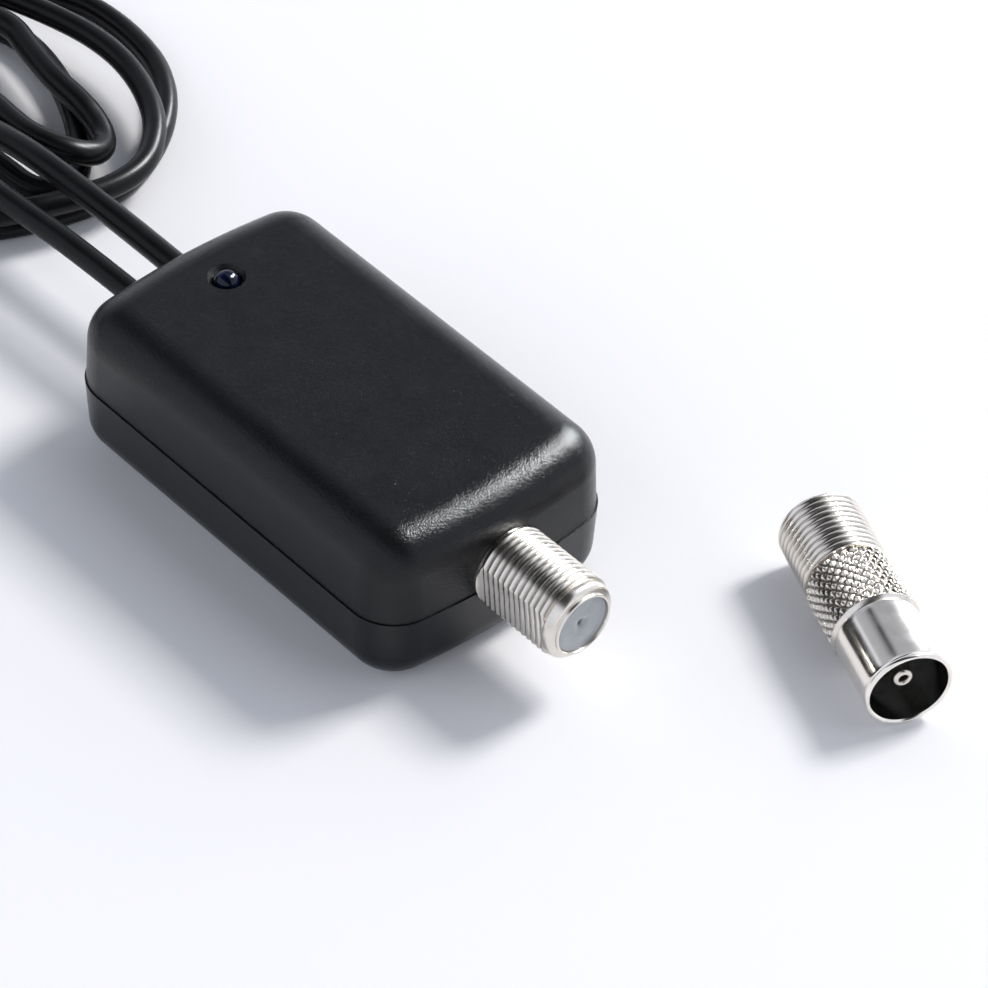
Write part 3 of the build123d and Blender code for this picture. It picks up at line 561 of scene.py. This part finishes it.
def f_socket():
    """Threaded barrel with a flat, a smooth rounded nose and a thin ring that stands out in front."""
    back, start, nose = 23.0, 27.3, SOCKET_END - 1.75
    shoulder, ring, lip = SOCKET_END - 1.25, SOCKET_END - 0.5, SOCKET_END - 0.2
    neck = [(back, BORE_R), (back, NECK_R), (27.0, NECK_R), (27.24, NECK_R)]
    front = plain((nose - 0.04, 4.36), (nose + 0.04, 4.36)) + arc(nose + 0.22, 4.36, 0.12, 130, 90, 3)
    front += plain((shoulder, 4.5)) + arc(shoulder, 3.75, 0.74, 84, 14, 9)
    front += plain((ring, 3.82), (SOCKET_END - 0.48, 3.72), (SOCKET_END - 0.42, 3.66), (lip, 3.66))
    front += arc(lip, 3.58, 0.1, 80, 0, 4)
    front += plain((SOCKET_END - 0.1, 3.44), (SOCKET_END - 0.13, 3.4), (lip, 3.37),
                   (SOCKET_END - 0.9, 3.36), (SOCKET_END - 0.95, BORE_R), (back, BORE_R))
    stations = [(x, r, "round") for x, r in neck]
    stations += [(x, SOCKET_R, "thread") for x in stretch(start + 0.02, nose - 0.1, THREAD_STEP)]
    stations += [(x, r, "round") for x, r, kind in front]

    def flat(along):
        """The flat slants in from the neck's radius at the wall."""
        return max(FLAT_R, NECK_R - 2 * (along - start))

    count = 216
    piece = turned_piece("f_socket_shell", stations, socket_put, count, nickel_painted_groove_shade, "amplifier",
                         ["f_socket_body"], flat)
    other_look(piece, case_black, count, last_row=2)


def f_socket_disc():
    """Milky insulator with a small hole in a shallow cone, from stations (along, radius, how oval)."""
    face, rim, count = SOCKET_END - 0.42, 3.35, 96
    stations = [(30.0, 3.1, 0), (SOCKET_END - 0.96, 3.1, 0), (SOCKET_END - 0.94, rim, 0),
                (face - 0.12, rim, 0), (face - 0.04, 3.32, 0), (face, 3.24, 0), (face - 0.06, 2.4, 0),
                (face - 0.02, 1.5, 0), (face, 1.0, 0), (face - 0.05, 0.8, 0.2), (face - 0.3, 0.5, 0.8),
                (face - 0.4, 0.4, 1), (face - 2.5, 0.36, 1)]
    points = []
    for along, radius, oval in stations:
        for j in range(count):
            angle = 2 * pi * j / count
            points.append(socket_put(along, radius * cos(angle) * (1 - 0.45 * oval), radius * sin(angle)))
    mesh_piece("f_socket_disc", points, ring_grid(len(stations), count), milky, "amplifier",
               ["f_socket_insulator"])


def adapter_shell():
    """Threaded end and knurled collar of the adapter."""
    back, core, edge = 3.0, 1.4, COLLAR_END - 0.54
    stations = plain((back, BORE_R), (0.06, BORE_R), (0.0, 3.2), (0.0, 4.1))
    stations += [(x, 4.32 + 0.4 * min(1, x / 0.5), "thread") for x in stretch(0.08, 0.56, THREAD_STEP)]
    stations += [(x, ADAPTER_R, "thread") for x in stretch(0.62, COLLAR_START - 0.2, THREAD_STEP)]
    stations += plain((COLLAR_START - 0.1, 4.3), (COLLAR_START, 4.3), (COLLAR_START + 0.02, 4.55))
    stations += [(x, 4.95 - 0.25 * max(0, 1 - (x - COLLAR_START) / 0.35), "knurl")
                 for x in stretch(COLLAR_START + 0.06, COLLAR_END - 0.6, 0.085)]
    stations += plain((edge, 4.78), (edge + 0.05, 4.86)) + arc(edge + 0.12, 4.84, 0.1, 120, 80, 3)
    stations += plain((COLLAR_END - 0.12, 4.66), (COLLAR_END, 4.6), (COLLAR_END, 4.0),
                      (COLLAR_END - 1.0, core), (back, core), (back, BORE_R))
    turned_piece("adapter_shell", stations, adapter_put, 360, nickel_painted_groove_shade, "adapter", ["adapter_body"])


def adapter_tube():
    """Smooth outer contact with a thin rolled lip at its mouth, in a darker metal inside."""
    inner, floor, lip = ADAPTER_R - 0.42, COLLAR_END + 0.8, SLEEVE_END - 0.36
    outside = plain((COLLAR_END, 4.4), (COLLAR_END + 0.02, 4.6), (COLLAR_END + 0.1, 4.69))
    outside += [(x, ADAPTER_R, "plain") for x in stretch(COLLAR_END + 0.25, SLEEVE_END - 1.1, 0.6)]
    outside += plain((SLEEVE_END - 0.85, ADAPTER_R + 0.01), (SLEEVE_END - 0.72, ADAPTER_R + 0.05))
    outside += arc(lip, ADAPTER_R - 0.16, 0.31, 150, -30, 12)
    inside = plain((SLEEVE_END - 0.25, inner - 0.02), (SLEEVE_END - 0.9, inner), (floor, inner),
                   (floor, 1.3), (COLLAR_END, 1.3), (COLLAR_END, 4.4))
    count = 144
    piece = turned_piece("adapter_tube", outside + inside, adapter_put, count, bright_nickel, "adapter",
                         ["adapter_sleeve"])
    other_look(piece, dark_nickel, count, first_row=len(outside))


def adapter_centre():
    """Hollow centre pin with a rounded tip and a punched hole, dark inside."""
    pin, tip = 1.18, SLEEVE_END - 1.7
    hole_end = tip - 1.6
    stations = plain((COLLAR_END + 2.0, 1.12), (COLLAR_END + 2.1, pin), (tip - 0.5, pin))
    stations += arc(tip - 0.42, 0.76, 0.42, 90, 8, 7)
    stations += plain((tip, 0.66), (tip - 0.04, 0.56))
    rim = len(stations)
    stations += plain((tip - 0.2, 0.47), (hole_end, 0.42), (hole_end, 0.02))
    count = 72
    piece = turned_piece("adapter_tip", stations, adapter_put, count, nickel, "adapter", ["adapter_pin"])
    other_look(piece, dark_nickel, count, first_row=rim)


f_socket()
f_socket_disc()
adapter_shell()
adapter_tube()
adapter_centre()


# ---------------------------------------------------------------- floor, world and lights
FLOOR_COLOUR, FLOOR_HALF = (0.96, 0.965, 0.985, 1), 3.0
STUDIO_COLOUR, BEHIND_COLOUR = (0.9, 0.935, 1.04, 1), (0.97, 0.97, 0.985, 1)
WARM, COOL = (1.0, 0.97, 0.935), (0.93, 0.975, 1.0)
LAMP_DISTANCE, LAMP_AIM = 2.5, Vector((0.0, 0.0, 0.01))


def make_floor():
    h = FLOOR_HALF
    data = bpy.data.meshes.new("floor")
    data.from_pydata([(-h, -h, 0), (h, -h, 0), (h, h, 0), (-h, h, 0)], [], [(0, 1, 2, 3)])
    m = Material("floor")
    m.set(Roughness=0.75, Base_Color=FLOOR_COLOUR, Specular_IOR_Level=0.2)
    data.materials.append(m.made)
    floor = bpy.data.objects.new("floor", data)
    scene.collection.objects.link(floor)


def make_world():
    """Pale studio with a dark band overhead and two darker patches behind. The camera itself sees white."""
    world = bpy.data.worlds.new("studio")
    world.use_nodes = True
    scene.world = world
    w = Tree(world.node_tree)
    coordinates = w.add("ShaderNodeTexCoord").outputs["Generated"]

    def calc(kind, *values):
        """A maths node on numbers and outputs."""
        node = w.add("ShaderNodeMath", operation=kind)
        for socket, value in zip(node.inputs, values):
            if isinstance(value, float):
                socket.default_value = value
            else:
                w.join(value, socket)
        return node.outputs["Value"]

    def fade(value, start, end, low, high):
        """Goes softly from low to high as a value goes from start to end."""
        return w.map_range(value, start, end, low, high, interpolation_type="SMOOTHSTEP")

    def patch(direction, near, far, low):
        """A value that goes from low inside a cone round a direction to 1 outside it, angles in degrees."""
        dot = w.add("ShaderNodeVectorMath", operation="DOT_PRODUCT")
        dot.inputs[1].default_value = Vector(direction).normalized()
        w.join(coordinates, dot.inputs[0])
        return fade(dot.outputs["Value"], cos(radians(near)), cos(radians(far)), low, 1.0)

    def dark_band(middle, half, soft):
        """A dark strip along X, by its height angle seen along X, that is half as dark towards the rear."""
        split = w.add("ShaderNodeSeparateXYZ")
        w.join(coordinates, split.inputs[0])
        left = calc("MULTIPLY", split.outputs["Y"], -1.0)
        angle = calc("ARCTAN2", split.outputs["Z"], left)
        away = calc("ABSOLUTE", calc("SUBTRACT", angle, radians(middle)))
        outside = fade(away, radians(half - soft), radians(half + soft), low=0.03, high=1.0)
        rear = fade(split.outputs["X"], start=-0.76, end=-0.64, low=0.5, high=0.0)
        return calc("MAXIMUM", outside, rear)

    level = dark_band(middle=78, half=23, soft=8)
    level = calc("MULTIPLY", level, patch((-0.535, 0.496, 0.684), near=10, far=32, low=0.44))
    level = calc("MULTIPLY", level, patch((-0.92, -0.38, 0.11), near=11, far=17, low=0.06))
    tint = w.add("ShaderNodeMix", data_type="RGBA")
    tint.inputs["A"].default_value = (0, 0, 0, 1)
    tint.inputs["B"].default_value = STUDIO_COLOUR
    w.join(level, tint.inputs["Factor"])
    studio = w.tree.nodes["Background"]
    w.join(tint.outputs["Result"], studio.inputs["Color"])
    behind = w.add("ShaderNodeBackground", Color=BEHIND_COLOUR)
    choose = w.add("ShaderNodeMixShader")
    w.join(w.add("ShaderNodeLightPath").outputs["Is Camera Ray"], choose.inputs["Fac"])
    w.join(studio.outputs["Background"], choose.inputs[1])
    w.join(behind.outputs["Background"], choose.inputs[2])
    w.join(choose.outputs["Shader"], w.tree.nodes["World Output"].inputs["Surface"])


def soft_box(name, direction, size, power, colour, only_gloss=False):
    """A rectangular lamp that looks at the object from a direction, and may show in reflections only."""
    data = bpy.data.lights.new(name, "AREA")
    data.shape = "RECTANGLE"
    data.size, data.size_y = size
    data.energy = power
    data.color = colour
    lamp = bpy.data.objects.new(name, data)
    towards = Vector(direction).normalized()
    lamp.location = LAMP_AIM + towards * LAMP_DISTANCE
    lamp.rotation_mode = "QUATERNION"
    lamp.rotation_quaternion = towards.to_track_quat("Z", "Y")
    lamp.visible_diffuse = not only_gloss
    scene.collection.objects.link(lamp)


make_floor()
make_world()
soft_box("key", (0.1, 0.69, 0.716), (0.65, 0.65), 41.5, WARM)
soft_box("key_shine", (0.085, 0.73, 0.68), (0.66, 0.72), 84.0, COOL, only_gloss=True)
soft_box("edge_shine", (0.16, 0.59, 0.79), (0.55, 0.48), 24.0, COOL, only_gloss=True)
soft_box("rear_shine", (-0.15, 0.9, 0.41), (0.45, 0.55), 55.0, COOL, only_gloss=True)

scene.view_settings.view_transform = "Standard"
